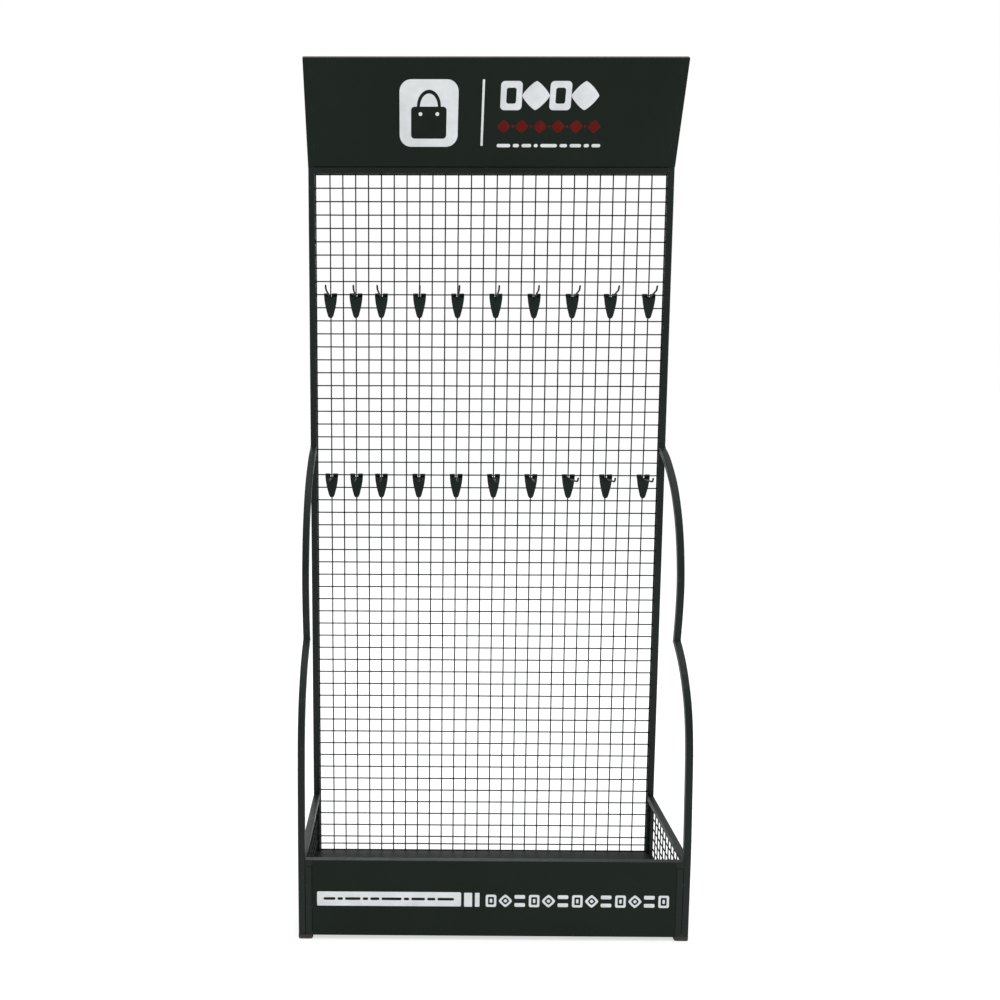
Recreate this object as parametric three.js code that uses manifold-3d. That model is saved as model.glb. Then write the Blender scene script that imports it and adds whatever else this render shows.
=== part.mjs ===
// Floor-standing wire-grid display rack with a tilted header board, bowed side
// tubes, a shallow base basket and lift-off product hooks.
// Millimetres. +Z up, +X to the shopper's right, the front faces -Y.
// Origin: on the floor, at the centre of the rack's footprint box.
import * as THREE from "three";
import { mergeVertices } from "three/addons/utils/BufferGeometryUtils.js";
import Module from "manifold-3d";

const wasm = await Module();
wasm.setup();
const { Manifold, Mesh: SolidMesh } = wasm;

// ---------------------------------------------------------------- dimensions
const TUBE = 15; // square steel tube, outside
const WALL = 1.2; // tube wall
const GAP = 0.3; // clearance kept between touching pieces
const HALF_W = 425; // half the overall width, outside faces of the posts
const FOOT_H = 10; // the tubes stand this high on their feet

const POST_TOP = 1703; // front edge of the bend where the header leans forward
const TOP_TUBE_Z = 1688; // underside of the top cross tube
const LOW_TUBE_Z = 16; // underside of every bottom tube
const RAIL_TOP = 181; // top face of the basket's top rails
const FRONT_Y = -358; // front faces of the front legs

const HEADER_RUN = 235; // sloping length of the header arms
const HEADER_FORWARD = 105; // how far the header's top leans forward ...
const HEADER_RISE = 214; // ... and how far it rises in the same length
const SHEET = 1.2; // sheet steel thickness

const GRID_PITCH_X = 30; // between upright wires
const GRID_PITCH_Z = 30.52; // between level wires
const GRID_TOP_Z = 1686.3; // where level wire 0 would lie, behind the top tube
const GRID_UPRIGHTS = 26;
const GRID_LEVELS = 53;
const GRID_LAST_Z = 49.5; // the odd extra level wire near the bottom
const WIRE = 2.7; // wire thickness used for the lattice bars
const SIDE_PITCH = 25.4; // the basket's side meshes

const HOOK_COLUMNS = [1, 3, 5, 8, 11, 14, 17, 20, 23, 26]; // upright wires that carry hooks
const HOOK_UPPER_LEVEL = 9; // level wire that carries the upper row
const HOOK_LOWER_LEVEL = 23; // level wire that carries the lower row
const HOOK_W = 31; // hook plate width at its top edge
const HOOK_H = 56; // hook plate height
const HOOK_SLOT = 3.2; // half width of the slot that straddles the upright wire
const HOOK_T = 1.5; // hook plate thickness
const PRONG_R = 2.1; // prong wire radius
const PRONG_LEN = 92; // straight run of the prong
const PRONG_RISE = [8.6, 2.2]; // its upward slope in degrees, upper and lower rows
const PRONG_TIP = 7.5; // upturned tip

const BOLT_HEAD_R = 6;
const BOLT_HEAD_H = 3.5;
const BOLT_R = 2.9;
const BOLT_HOLE_R = 3.4;

// front edge lines of the bowed side tubes as (y, z), top to bottom
const UPPER_BOW = [
  [14, 1059], [-8, 1054], [-48, 1039], [-94, 1011], [-138, 975], [-173, 930],
  [-199, 880], [-216, 825], [-225, 765], [-222, 702], [-211, 634],
];
const LOWER_BOW = [
  [-211, 634], [-240, 615], [-267, 592], [-291, 564], [-316, 525], [-333, 480],
  [-343, 430], [-348, 378], [-352, 310], [-356, 240], [-358, 181], [-358, 10],
];

// the box above runs from the panel's front face to the bolt heads behind
const SHIFT_Y = (358 + GAP + SHEET - (TUBE / 2 + GAP + BOLT_HEAD_H)) / 2;

// ------------------------------------------------------------------ materials
const steel = (colour, roughness, metalness) =>
  new THREE.MeshStandardMaterial({ color: colour, roughness, metalness });
const TUBE_PAINT = steel(0x23282b, 0.42, 0.35);
const WIRE_PAINT = steel(0x1d2122, 0.4, 0.35);
const SHEET_PAINT = steel(0x14191a, 0.5, 0.3);
const HOOK_PAINT = steel(0x1a2022, 0.38, 0.4);
const RUBBER = steel(0x111111, 0.85, 0.0);
const ZINC = steel(0x2b2c2e, 0.35, 0.8);

// -------------------------------------------------------------------- helpers
function solid(geometry) {
  const g = geometry.index ? geometry.toNonIndexed() : geometry.clone();
  const bare = new THREE.BufferGeometry().setAttribute("position", g.getAttribute("position"));
  const m = mergeVertices(bare, 1e-4);
  const made = new Manifold(
    new SolidMesh({
      numProp: 3,
      vertProperties: new Float32Array(m.attributes.position.array),
      triVerts: new Uint32Array(m.index.array),
    }),
  );
  return made;
}

function toGeometry(made) {
  const mesh = made.getMesh();
  const g = new THREE.BufferGeometry();
  const p = new Float32Array((mesh.vertProperties.length / mesh.numProp) * 3);
  for (let i = 0, n = mesh.vertProperties.length / mesh.numProp; i < n; i++)
    for (let k = 0; k < 3; k++) p[3 * i + k] = mesh.vertProperties[mesh.numProp * i + k];
  g.setAttribute("position", new THREE.BufferAttribute(p, 3));
  g.setIndex(new THREE.BufferAttribute(new Uint32Array(mesh.triVerts), 1));
  const flat = g.toNonIndexed();
  flat.computeVertexNormals();
  return flat;
}

const box = (x0, x1, y0, y1, z0, z1) =>
  solid(
    new THREE.BoxGeometry(x1 - x0, y1 - y0, z1 - z0).translate(
      (x0 + x1) / 2, (y0 + y1) / 2, (z0 + z1) / 2,
    ),
  );

// an outline in the (y, z) plane pulled along x from x0 to x1
function slabYZ(points, x0, x1) {
  const shape = new THREE.Shape(points.map(([y, z]) => new THREE.Vector2(y, z)));
  const g = new THREE.ExtrudeGeometry(shape, { depth: x1 - x0, bevelEnabled: false });
  g.applyMatrix4(new THREE.Matrix4().set(0, 0, 1, x0, 1, 0, 0, 0, 0, 1, 0, 0, 0, 0, 0, 1));
  return solid(g);
}

// an outline in the (x, y) plane pulled along z
function slabXY(points, z0, z1) {
  const shape = new THREE.Shape(points.map(([x, y]) => new THREE.Vector2(x, y)));
  const g = new THREE.ExtrudeGeometry(shape, { depth: z1 - z0, bevelEnabled: false });
  g.translate(0, 0, z0);
  return solid(g);
}

// an outline in the (x, z) plane pulled along y from y0 to y1 (y1 > y0)
function slabXZ(points, y0, y1) {
  const shape = new THREE.Shape(points.map(([x, z]) => new THREE.Vector2(x, -z)));
  const g = new THREE.ExtrudeGeometry(shape, { depth: y1 - y0, bevelEnabled: false });
  g.applyMatrix4(new THREE.Matrix4().set(1, 0, 0, 0, 0, 0, 1, y0, 0, -1, 0, 0, 0, 0, 0, 1));
  return solid(g);
}

// round bar along y
function barY(x, y0, y1, z, r, sides = 12) {
  const g = new THREE.CylinderGeometry(r, r, y1 - y0, sides, 1);
  g.translate(x, (y0 + y1) / 2, z);
  return solid(g);
}

// open-ended square tube along x, y or z
function tubeX(x0, x1, y0, y1, z0, z1) {
  return box(x0, x1, y0, y1, z0, z1).subtract(
    box(x0 - 2, x1 + 2, y0 + WALL, y1 - WALL, z0 + WALL, z1 - WALL),
  );
}
function tubeY(x0, x1, y0, y1, z0, z1, plugRear = 0) {
  return box(x0, x1, y0, y1, z0, z1).subtract(
    box(x0 + WALL, x1 - WALL, y0 - 2, y1 + 2 - (plugRear ? plugRear + 2 : 0), z0 + WALL, z1 - WALL),
  );
}
function tubeZ(x0, x1, y0, y1, z0, z1) {
  return box(x0, x1, y0, y1, z0, z1).subtract(
    box(x0 + WALL, x1 - WALL, y0 + WALL, y1 - WALL, z0 - 2, z1 + 2),
  );
}

// a round rod through a list of points
function rod(points, r, sides) {
  const p = points.map((q) => new THREE.Vector3(...q));
  const n = p.length;
  const rings = [];
  let side = new THREE.Vector3(1, 0, 0);
  for (let i = 0; i < n; i++) {
    const t = new THREE.Vector3();
    if (i > 0) t.add(p[i].clone().sub(p[i - 1]).normalize());
    if (i < n - 1) t.add(p[i + 1].clone().sub(p[i]).normalize());
    t.normalize();
    side = side.sub(t.clone().multiplyScalar(side.dot(t))).normalize();
    const up = new THREE.Vector3().crossVectors(t, side);
    const ring = [];
    for (let k = 0; k < sides; k++) {
      const a = ((k + 0.5) / sides) * Math.PI * 2;
      ring.push(
        p[i].clone().addScaledVector(side, r * Math.cos(a)).addScaledVector(up, r * Math.sin(a)),
      );
    }
    rings.push(ring);
  }
  const tri = [];
  const put = (a, b, c) => tri.push(a.x, a.y, a.z, b.x, b.y, b.z, c.x, c.y, c.z);
  for (let i = 0; i < n - 1; i++)
    for (let k = 0; k < sides; k++) {
      const a = rings[i][k], b = rings[i][(k + 1) % sides];
      const c = rings[i + 1][(k + 1) % sides], d = rings[i + 1][k];
      put(a, b, c);
      put(a, c, d);
    }
  for (let k = 1; k < sides - 1; k++) {
    put(rings[0][0], rings[0][k + 1], rings[0][k]);
    put(rings[n - 1][0], rings[n - 1][k], rings[n - 1][k + 1]);
  }
  const g = new THREE.BufferGeometry();
  g.setAttribute("position", new THREE.BufferAttribute(new Float32Array(tri), 3));
  const made = solid(g);
  return made;
}

const root = new THREE.Group();
root.position.y = SHIFT_Y;
function add(name, made, material) {
  const mesh = new THREE.Mesh(toGeometry(made), material);
  mesh.name = name;
  root.add(mesh);
}
// the same piece on the left and on the right
function pair(make, left, right, material) {
  add(left, make(-1), material);
  add(right, make(1), material);
}
const span = (s, a, b) => (s < 0 ? [-b, -a] : [a, b]);

// ------------------------------------------------------------------ back frame
const HT = TUBE / 2;
const INNER = HALF_W - TUBE; // inner faces of the posts
const LEAN = Math.atan2(HEADER_FORWARD, HEADER_RISE);
const MITRE = TUBE * Math.tan(LEAN / 2); // rise of the post's back edge at the bend
const U = [-Math.sin(LEAN), Math.cos(LEAN)]; // up the header, in (y, z)
const N = [-Math.cos(LEAN), -Math.sin(LEAN)]; // out of the header's front
const ARM0 = [-HT, POST_TOP];
const header = (s, n) => [ARM0[0] + U[0] * s + N[0] * n, ARM0[1] + U[1] * s + N[1] * n];

const RAIL_MID_Z = RAIL_TOP - HT;
const LOW_MID_Z = LOW_TUBE_Z + HT;
const POST_MID = HALF_W - HT;

pair(
  (s) => {
    const [x0, x1] = span(s, INNER, HALF_W);
    const out = [[-HT, FOOT_H], [HT, FOOT_H], [HT, POST_TOP + MITRE], [-HT, POST_TOP]];
    const i = HT - WALL;
    const inn = [[-i, FOOT_H - 2], [i, FOOT_H - 2], [i, POST_TOP + MITRE + 4], [-i, POST_TOP + 4]];
    return slabYZ(out, x0, x1)
      .subtract(slabYZ(inn, x0 + WALL, x1 - WALL))
      .subtract(barY(s * POST_MID, -HT - 2, HT + 2, RAIL_MID_Z, BOLT_HOLE_R, 10))
      .subtract(barY(s * POST_MID, -HT - 2, HT + 2, LOW_MID_Z, BOLT_HOLE_R, 10));
  },
  "left_post", "right_post", TUBE_PAINT,
);
add("top_cross_tube", tubeX(-INNER + GAP, INNER - GAP, -HT, HT, TOP_TUBE_Z, TOP_TUBE_Z + TUBE), TUBE_PAINT);
add("bottom_cross_tube", tubeX(-INNER + GAP, INNER - GAP, -HT, HT, LOW_TUBE_Z, LOW_TUBE_Z + TUBE), TUBE_PAINT);

// ------------------------------------------------------------- welded wire grid
// level wires lie in front of the upright wires; both end in a border wire
{
  const half = WIRE / 2;
  const edge = INNER - GAP - WIRE; // inner side of the border wires
  const top = TOP_TUBE_Z - GAP;
  const low = LOW_TUBE_Z + TUBE + GAP;
  const bars = [
    box(-edge - WIRE, -edge, -3, 3, low, top),
    box(edge, edge + WIRE, -3, 3, low, top),
    box(-edge - 1, edge + 1, -3, 3, top - WIRE, top),
    box(-edge - 1, edge + 1, -3, 3, low, low + WIRE),
  ];
  for (let i = 1; i <= GRID_UPRIGHTS; i++) {
    const x = (i - (GRID_UPRIGHTS + 1) / 2) * GRID_PITCH_X;
    bars.push(box(x - half, x + half, 0.15, 0.15 + WIRE, low + 1, top - 1));
  }
  const levels = [GRID_LAST_Z];
  for (let j = 1; j <= GRID_LEVELS; j++) levels.push(GRID_TOP_Z - GRID_PITCH_Z * j);
  for (const z of levels) bars.push(box(-edge - 1, edge + 1, -0.15 - WIRE, -0.15, z - half, z + half));
  add("grid_panel", Manifold.union(bars), WIRE_PAINT);
}

// ---------------------------------------------------------------------- header
pair(
  (s) => {
    const [x0, x1] = span(s, INNER, HALF_W);
    const back = [HT + U[0] * GAP, POST_TOP + MITRE + U[1] * GAP];
    const out = [header(GAP, 0), back, header(HEADER_RUN, -TUBE), header(HEADER_RUN, 0)];
    const inn = [header(-14, -WALL), header(-14, -TUBE + WALL), header(HEADER_RUN + 4, -TUBE + WALL), header(HEADER_RUN + 4, -WALL)];
    return slabYZ(out, x0, x1).subtract(slabYZ(inn, x0 + WALL, x1 - WALL));
  },
  "left_header_arm", "right_header_arm", TUBE_PAINT,
);
{
  const x = INNER - GAP;
  const r = HEADER_RUN;
  const out = [header(r - TUBE, 0), header(r - TUBE, -TUBE), header(r, -TUBE), header(r, 0)];
  const inn = [
    header(r - TUBE + WALL, -WALL), header(r - TUBE + WALL, -TUBE + WALL),
    header(r - WALL, -TUBE + WALL), header(r - WALL, -WALL),
  ];
  add("header_top_rail", slabYZ(out, -x, x).subtract(slabYZ(inn, -x - 2, x + 2)), TUBE_PAINT);
  // one sheet: the sloping face and a return folded back over the top rail
  const face = [
    header(1, GAP + SHEET), header(1, GAP), header(r + GAP, GAP), header(r + GAP, -TUBE),
    header(r + GAP + SHEET, -TUBE), header(r + GAP + SHEET, GAP + SHEET),
  ];
  add("header_panel", slabYZ(face, -HALF_W, HALF_W), SHEET_PAINT);
}

// ------------------------------------------------------------ bowed side tubes
function smooth(points, count) {
  const curve = new THREE.CatmullRomCurve3(
    points.map(([y, z]) => new THREE.Vector3(0, y, z)), false, "centripetal",
  );
  return curve.getSpacedPoints(count).map((v) => [v.y, v.z]);
}
// the line at a given distance behind the front edge line
function offset(line, d) {
  return line.map((p, i) => {
    const a = line[Math.max(i - 1, 0)], b = line[Math.min(i + 1, line.length - 1)];
    const t = [b[0] - a[0], b[1] - a[1]];
    const l = Math.hypot(...t);
    return [p[0] - (t[1] / l) * d, p[1] + (t[0] / l) * d];
  });
}
const upperLine = smooth(UPPER_BOW, 20);
const lowerLine = smooth(LOWER_BOW.slice(0, 11), 18).concat([[FRONT_Y, FOOT_H]]);
const dir = (a, b) => {
  const l = Math.hypot(b[0] - a[0], b[1] - a[1]);
  return [(b[0] - a[0]) / l, (b[1] - a[1]) / l];
};
// the mitre where the two bows meet, from the front edge to the back corner
const KINK = UPPER_BOW[UPPER_BOW.length - 1];
const D1 = dir(upperLine[upperLine.length - 2], KINK);
const D2 = dir(KINK, lowerLine[1]);
const N1 = [-D1[1], D1[0]], N2 = [-D2[1], D2[0]];
const ML = Math.hypot(N1[0] + N2[0], N1[1] + N2[1]);
const MD = [(N1[0] + N2[0]) / ML, (N1[1] + N2[1]) / ML];
const MS = 1 / (MD[0] * N1[0] + MD[1] * N1[1]); // mitre stretch
const mitre = (d, along, dirn) => [
  KINK[0] + MD[0] * d * MS + dirn[0] * along, KINK[1] + MD[1] * d * MS + dirn[1] * along,
];
pair(
  (s) => {
    const [x0, x1] = span(s, INNER, HALF_W);
    const body = upperLine.slice(0, -1);
    const ring = (d0, d1, past) => [
      ...offset(upperLine, d0).slice(0, -1), mitre(d0, past, D1), mitre(d1, past, D1),
      ...offset(upperLine, d1).slice(0, -1).reverse(),
    ];
    return slabYZ(ring(0, TUBE, 0), x0, x1)
      .subtract(slabYZ(ring(WALL, TUBE - WALL, 4), x0 + WALL, x1 - WALL))
      .subtract(box(x0 - 5, x1 + 5, -HT - GAP, 60, 900, 1200));
  },
  "left_bow_upper", "right_bow_upper", TUBE_PAINT,
);
pair(
  (s) => {
    const [x0, x1] = span(s, INNER, HALF_W);
    const ring = (d0, d1, past, low) => {
      const a = offset(lowerLine, d0).slice(1, -1), b = offset(lowerLine, d1).slice(1, -1);
      return [
        mitre(d0, GAP - past, D2), ...a, [FRONT_Y + d0, low], [FRONT_Y + d1, low],
        ...b.reverse(), mitre(d1, GAP - past, D2),
      ];
    };
    return slabYZ(ring(0, TUBE, 0, FOOT_H), x0, x1).subtract(
      slabYZ(ring(WALL, TUBE - WALL, 4, FOOT_H - 2), x0 + WALL, x1 - WALL),
    );
  },
  "left_bow_lower", "right_bow_lower", TUBE_PAINT,
);

// ----------------------------------------------------------------- base basket
const STILE0 = INNER - GAP - TUBE; // inner face of the stiles
const BACK_OF_LEG = FRONT_Y + TUBE;
pair(
  (s) => tubeZ(...span(s, STILE0, INNER - GAP), FRONT_Y, BACK_OF_LEG, FOOT_H, RAIL_TOP - TUBE - GAP),
  "left_front_stile", "right_front_stile", TUBE_PAINT,
);
add("front_top_rail", tubeX(-INNER + GAP, INNER - GAP, FRONT_Y, BACK_OF_LEG, RAIL_TOP - TUBE, RAIL_TOP), TUBE_PAINT);
add("front_bottom_rail", tubeX(-STILE0 + GAP, STILE0 - GAP, FRONT_Y, BACK_OF_LEG, LOW_TUBE_Z, LOW_TUBE_Z + TUBE), TUBE_PAINT);
add("front_panel", box(-STILE0 + GAP, STILE0 - GAP, FRONT_Y - GAP - SHEET, FRONT_Y - GAP, FOOT_H, RAIL_TOP), SHEET_PAINT);
for (const [z, word] of [[RAIL_TOP - TUBE, "top"], [LOW_TUBE_Z, "bottom"]])
  pair(
    (s) =>
      tubeY(...span(s, INNER, HALF_W), BACK_OF_LEG + GAP, -HT - GAP, z, z + TUBE, 13).subtract(
        barY(s * POST_MID, -HT - 24, -HT + 2, z + HT, BOLT_HOLE_R, 10),
      ),
    `left_side_${word}_rail`, `right_side_${word}_rail`, TUBE_PAINT,
  );
pair(
  (s) => {
    const half = WIRE / 2;
    const x = s * POST_MID;
    const y0 = BACK_OF_LEG + 2 * GAP, y1 = -HT - 2 * GAP;
    const z0 = LOW_TUBE_Z + TUBE + GAP, z1 = RAIL_TOP - TUBE - GAP;
    const bars = [
      box(x - 3, x + 3, y0, y0 + WIRE, z0, z1),
      box(x - 3, x + 3, y1 - WIRE, y1, z0, z1),
      box(x - 3, x + 3, y0 + 1, y1 - 1, z0, z0 + WIRE),
      box(x - 3, x + 3, y0 + 1, y1 - 1, z1 - WIRE, z1),
    ];
    const inA = s > 0 ? [x - 0.15 - WIRE, x - 0.15] : [x + 0.15, x + 0.15 + WIRE];
    const outA = s > 0 ? [x + 0.15, x + 0.15 + WIRE] : [x - 0.15 - WIRE, x - 0.15];
    for (let k = 1; k <= 12; k++) {
      const y = y1 - half - SIDE_PITCH * k;
      bars.push(box(...outA, y - half, y + half, z0 + 1, z1 - 1));
    }
    for (let k = 1; k <= 4; k++) {
      const z = z1 - half - SIDE_PITCH * k;
      bars.push(box(...inA, y0 + 1, y1 - 1, z - half, z + half));
    }
    return Manifold.union(bars);
  },
  "left_side_mesh", "right_side_mesh", WIRE_PAINT,
);
pair(
  (s) => tubeY(...span(s, 130, 130 + TUBE), BACK_OF_LEG + GAP, -HT - GAP, LOW_TUBE_Z, LOW_TUBE_Z + TUBE),
  "left_shelf_bearer", "right_shelf_bearer", TUBE_PAINT,
);
{
  const a = STILE0 - GAP, b = INNER - GAP, z = LOW_TUBE_Z + TUBE + GAP;
  const rear = -3.6, post = -HT - GAP, front = BACK_OF_LEG + GAP, lip = FRONT_Y + 1;
  add(
    "base_shelf",
    slabXY([[-a, lip], [a, lip], [a, front], [b, front], [b, rear], [-b, rear], [-b, front], [-a, front]], z, z + SHEET),
    SHEET_PAINT,
  );
}

// ------------------------------------------------------------------------ feet
pair(
  (s) => {
    // one shoe under each pair of front tubes, with a peg pushed up the stile
    const w = 15.8, d = 8.6, r = 5, h = FOOT_H - GAP;
    const shape = new THREE.Shape();
    shape.moveTo(-w + r, -d).lineTo(w - r, -d).absarc(w - r, -d + r, r, -Math.PI / 2, 0)
      .lineTo(w, d - r).absarc(w - r, d - r, r, 0, Math.PI / 2)
      .lineTo(-w + r, d).absarc(-w + r, d - r, r, Math.PI / 2, Math.PI)
      .lineTo(-w, -d + r).absarc(-w + r, -d + r, r, Math.PI, Math.PI * 1.5);
    const g = new THREE.ExtrudeGeometry(shape, {
      depth: h - 3, bevelEnabled: true, bevelThickness: 1.5, bevelSize: 1.5, bevelOffset: -1.5,
      bevelSegments: 1, curveSegments: 3,
    });
    g.translate(s * (INNER - GAP / 2), FRONT_Y + HT, 1.5);
    const peg = new THREE.CylinderGeometry(5.4, 5.4, 30, 10, 1).rotateX(Math.PI / 2);
    peg.translate(s * (INNER - GAP - HT), FRONT_Y + HT, h - 4 + 15);
    return solid(g).add(solid(peg));
  },
  "front_left_foot", "front_right_foot", RUBBER,
);
pair(
  (s) => {
    const h = FOOT_H - GAP;
    const profile = [[0, 0], [11, 0], [12.5, 1.5], [12.5, h - 2], [10.5, h], [5.4, h], [5.4, h + 8], [0, h + 8]]
      .map(([r, z]) => new THREE.Vector2(r, z));
    return solid(new THREE.LatheGeometry(profile, 14).rotateX(Math.PI / 2).translate(s * (POST_MID - 5), 0, 0))
      .intersect(box(s * POST_MID - 40, s * POST_MID + 40, -11.8, HT + BOLT_HEAD_H, -5, 60))
      .translate([s * 5, 0, 0]);
  },
  "rear_left_foot", "rear_right_foot", RUBBER,
);

// ----------------------------------------------------------------------- bolts
for (const [z, word] of [[RAIL_MID_Z, "upper"], [LOW_MID_Z, "lower"]])
  pair(
    (s) => {
      const y = HT + GAP;
      const profile = [
        [0, BOLT_HEAD_H], [BOLT_HEAD_R - 2.2, BOLT_HEAD_H], [BOLT_HEAD_R, BOLT_HEAD_H - 1.8], [BOLT_HEAD_R, 0],
        [BOLT_R, 0], [BOLT_R, -TUBE - 2 * GAP - 10], [0, -TUBE - 2 * GAP - 10],
      ].reverse().map(([r, h]) => new THREE.Vector2(r, h));
      return solid(new THREE.LatheGeometry(profile, 12).translate(s * POST_MID, y, z));
    },
    `left_frame_bolt_${word}`, `right_frame_bolt_${word}`, ZINC,
  );

// ----------------------------------------------------------------------- hooks
// spade-shaped plate, two tongues folded over the level wire, one welded prong
function hook(x, zWire, yaw, slope) {
  const top = zWire + 1.0;
  const yb = -3.3, yf = yb - HOOK_T;
  const k = HOOK_W / 31, m = HOOK_H / 56;
  const right = [[15.5, 0], [15.2, -8], [14.2, -17], [12.5, -27], [10.2, -37], [8.1, -45], [6.5, -50.5], [4.1, -54.4]];
  const slot = [[HOOK_SLOT, 0], [HOOK_SLOT, -3.2], [2.2, -5.4], [0, -6.3]];
  const outline = [
    ...right.map(([a, b]) => [x + a * k, top + b * m]),
    [x, top - HOOK_H],
    ...right.slice().reverse().map(([a, b]) => [x - a * k, top + b * m]),
    ...slot.map(([a, b]) => [x - a, top + b]),
    ...slot.slice(0, 3).reverse().map(([a, b]) => [x + a, top + b]),
  ].reverse();
  let made = slabXZ(outline, yf, yb);
  for (const s of [-1, 1]) {
    const u = [
      [yf, zWire - 2], [yf, zWire + 3.3], [0.3 + HOOK_T, zWire + 3.3], [0.3 + HOOK_T, zWire - 6],
      [0.3, zWire - 6], [0.3, zWire + 1.8], [yb, zWire + 1.8], [yb, zWire - 2],
    ].reverse();
    made = made.add(slabYZ(u, x + s * 9.3 - 5.9, x + s * 9.3 + 5.9));
  }
  const a = (slope * Math.PI) / 180, w = (yaw * Math.PI) / 180;
  const zr = zWire - 8.6;
  const at = (l, up) => [x + Math.sin(w) * l, yb - 0.4 - Math.cos(w) * l, zr + up];
  const rise = (l) => Math.tan(a) * l;
  const path = [
    at(0, 0), at(PRONG_LEN - 6, rise(PRONG_LEN - 6)), at(PRONG_LEN, rise(PRONG_LEN) + 1.2),
    at(PRONG_LEN + 3.5, rise(PRONG_LEN) + 3.9), at(PRONG_LEN + 5.5, rise(PRONG_LEN) + PRONG_TIP),
  ];
  return made.add(rod(path, PRONG_R, 8));
}
const UPPER_YAW = [-2.2, -0.4, -4, 0, 0, 0, 0, 1.7, 0.7, -1.7];
const LOWER_YAW = [0, 0, 0, 0, 0, 0, 0, 5.2, 2.6, 1.2];
const two = (n) => String(n).padStart(2, "0");
HOOK_COLUMNS.forEach((c, n) => {
  const x = (c - (GRID_UPRIGHTS + 1) / 2) * GRID_PITCH_X;
  const zu = GRID_TOP_Z - GRID_PITCH_Z * HOOK_UPPER_LEVEL;
  const zl = GRID_TOP_Z - GRID_PITCH_Z * HOOK_LOWER_LEVEL;
  add(`upper_hook_${two(n + 1)}`, hook(x, zu, UPPER_YAW[n], PRONG_RISE[0]), HOOK_PAINT);
  add(`lower_hook_${two(n + 1)}`, hook(x, zl, LOWER_YAW[n], PRONG_RISE[1]), HOOK_PAINT);
});

export default root;
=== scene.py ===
import math

import bmesh
import bpy
from mathutils import Matrix, Vector


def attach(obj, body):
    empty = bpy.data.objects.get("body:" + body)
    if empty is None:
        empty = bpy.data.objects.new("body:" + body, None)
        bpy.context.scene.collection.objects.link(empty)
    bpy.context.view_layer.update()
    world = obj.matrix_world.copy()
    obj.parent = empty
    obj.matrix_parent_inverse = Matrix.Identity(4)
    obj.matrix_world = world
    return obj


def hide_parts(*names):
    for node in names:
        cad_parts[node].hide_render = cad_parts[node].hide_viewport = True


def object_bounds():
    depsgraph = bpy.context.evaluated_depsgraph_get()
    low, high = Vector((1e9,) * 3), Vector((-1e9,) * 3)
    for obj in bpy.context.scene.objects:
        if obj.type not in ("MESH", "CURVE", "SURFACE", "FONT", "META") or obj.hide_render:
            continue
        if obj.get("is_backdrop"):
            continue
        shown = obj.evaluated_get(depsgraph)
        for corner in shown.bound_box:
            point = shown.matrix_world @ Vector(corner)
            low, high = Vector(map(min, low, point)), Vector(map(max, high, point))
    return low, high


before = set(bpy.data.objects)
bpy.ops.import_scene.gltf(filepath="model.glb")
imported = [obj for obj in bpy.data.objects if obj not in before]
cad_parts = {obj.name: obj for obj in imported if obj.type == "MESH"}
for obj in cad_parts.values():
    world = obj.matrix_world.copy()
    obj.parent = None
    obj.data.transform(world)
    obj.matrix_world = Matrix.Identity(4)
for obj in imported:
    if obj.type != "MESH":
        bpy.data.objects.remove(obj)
CAD_LO, CAD_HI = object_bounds()
CAD_LO, CAD_HI = list(CAD_LO), list(CAD_HI)

# ------------------------------------------------------------------ dimensions
# Millimetres, in the rack's own frame with Y = 0 on the middle of the posts.
# place() turns them into metres in the shared frame.
TUBE = 15.0
CORNER = 1.9                      # outside corner radius of the square tube
HALF_W = 425.0
INNER = HALF_W - TUBE
HT = TUBE / 2
FOOT_H = 10.0
POST_TOP = 1703.0
TOP_TUBE_Z = 1688.0
LOW_Z = 16.0
RAIL_TOP = 181.0
FRONT_Y = -358.0
LEG_BACK = FRONT_Y + TUBE
STILE0 = INNER - 0.3 - TUBE
HEADER_RUN = 235.0
SHEET = 1.2
LEAN = math.atan2(105.0, 214.0)
UY, UZ = -math.sin(LEAN), math.cos(LEAN)
NY, NZ = -math.cos(LEAN), -math.sin(LEAN)
MITRE = TUBE * math.tan(LEAN / 2)
POST_MID = HALF_W - HT
GRID_PX, GRID_PZ, GRID_TOP, GRID_LAST = 30.0, 30.52, 1686.3, 49.5
SHIFT_Y = 174.1
COLUMNS = [1, 3, 5, 8, 11, 14, 17, 20, 23, 26]
UPPER_LEVEL, LOWER_LEVEL = 9, 23
UPPER_YAW = [-2.2, -0.4, -4, 0, 0, 0, 0, 1.7, 0.7, -1.7]
LOWER_YAW = [0, 0, 0, 0, 0, 0, 0, 5.2, 2.6, 1.2]
UPPER_BOW = [(14, 1059), (-8, 1054), (-48, 1039), (-94, 1011), (-138, 975), (-173, 930),
             (-199, 880), (-216, 825), (-225, 765), (-222, 702), (-211, 634)]
LOWER_BOW = [(-211, 634), (-240, 615), (-267, 592), (-291, 564), (-316, 525), (-333, 480),
             (-343, 430), (-348, 378), (-352, 310), (-356, 240), (-358, 181), (-358, 10)]


def place(x, y, z):
    return Vector((x / 1000.0, (y + SHIFT_Y) / 1000.0, z / 1000.0))


def header(x, s, n):
    return place(x, -HT + UY * s + NY * n, POST_TOP + UZ * s + NZ * n)


def wave(*k):
    """A repeatable number from -1 to 1."""
    t = 0.0
    for i, v in enumerate(k):
        t += v * (12.9898, 78.233, 37.719, 9.151)[i]
    return math.modf(abs(math.sin(t) * 43758.5453))[0] * 2 - 1


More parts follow.
